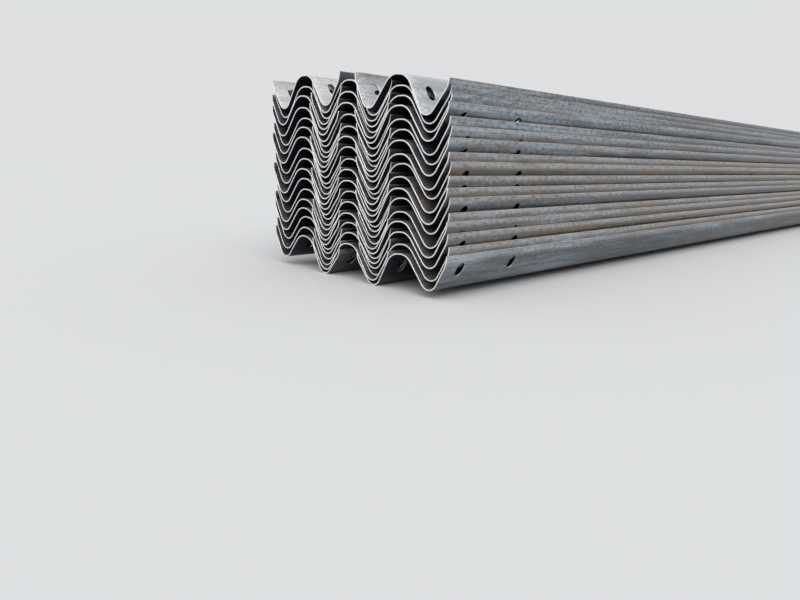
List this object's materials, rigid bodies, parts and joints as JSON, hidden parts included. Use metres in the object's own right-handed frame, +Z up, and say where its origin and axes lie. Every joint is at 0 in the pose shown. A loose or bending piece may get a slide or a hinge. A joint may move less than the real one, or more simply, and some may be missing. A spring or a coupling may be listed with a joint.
{
  "type": "bundle of guardrail beams",
  "caption": "Bundle of long double-wave steel guardrail beams, laid crests down in interleaved columns that share their valleys, in bare hot-rolled steel with plain sheared ends.",
  "frame": {"origin": "middle of the footprint, on the floor that the bundle rests on", "axes": "+X across the bundle to the right seen from its front end, +Y along the beams away from the front end, +Z up"},
  "size_m": [0.6928, 4.3096, 0.5157],
  "materials": {
    "rolled_steel": "hot-rolled mill scale with brown rust streaks and bright sheared ends"
  },
  "bodies": {
    "root": {"left_beam_01": "rolled_steel", "left_beam_02": "rolled_steel", "left_beam_03": "rolled_steel", "left_beam_04": "rolled_steel", "left_beam_05": "rolled_steel", "left_beam_06": "rolled_steel", "left_beam_07": "rolled_steel", "left_beam_08": "rolled_steel", "left_beam_09": "rolled_steel", "left_beam_10": "rolled_steel", "left_beam_11": "rolled_steel", "left_beam_12": "rolled_steel", "left_beam_13": "rolled_steel", "left_beam_14": "rolled_steel", "left_beam_15": "rolled_steel", "left_beam_16": "rolled_steel", "left_beam_17": "rolled_steel", "middle_beam_01": "rolled_steel", "middle_beam_02": "rolled_steel", "middle_beam_03": "rolled_steel", "middle_beam_04": "rolled_steel", "middle_beam_05": "rolled_steel", "middle_beam_06": "rolled_steel", "middle_beam_07": "rolled_steel", "middle_beam_08": "rolled_steel", "middle_beam_09": "rolled_steel", "middle_beam_10": "rolled_steel", "middle_beam_11": "rolled_steel", "middle_beam_12": "rolled_steel", "middle_beam_13": "rolled_steel", "middle_beam_14": "rolled_steel", "middle_beam_15": "rolled_steel", "middle_beam_16": "rolled_steel", "right_beam_01": "rolled_steel", "right_beam_02": "rolled_steel", "right_beam_03": "rolled_steel", "right_beam_04": "rolled_steel", "right_beam_05": "rolled_steel", "right_beam_06": "rolled_steel", "right_beam_07": "rolled_steel", "right_beam_08": "rolled_steel", "right_beam_09": "rolled_steel", "right_beam_10": "rolled_steel", "right_beam_11": "rolled_steel", "right_beam_12": "rolled_steel", "right_beam_13": "rolled_steel", "right_beam_14": "rolled_steel", "right_beam_15": "rolled_steel", "right_beam_16": "rolled_steel", "right_beam_17": "rolled_steel"}
  },
  "joints": []
}
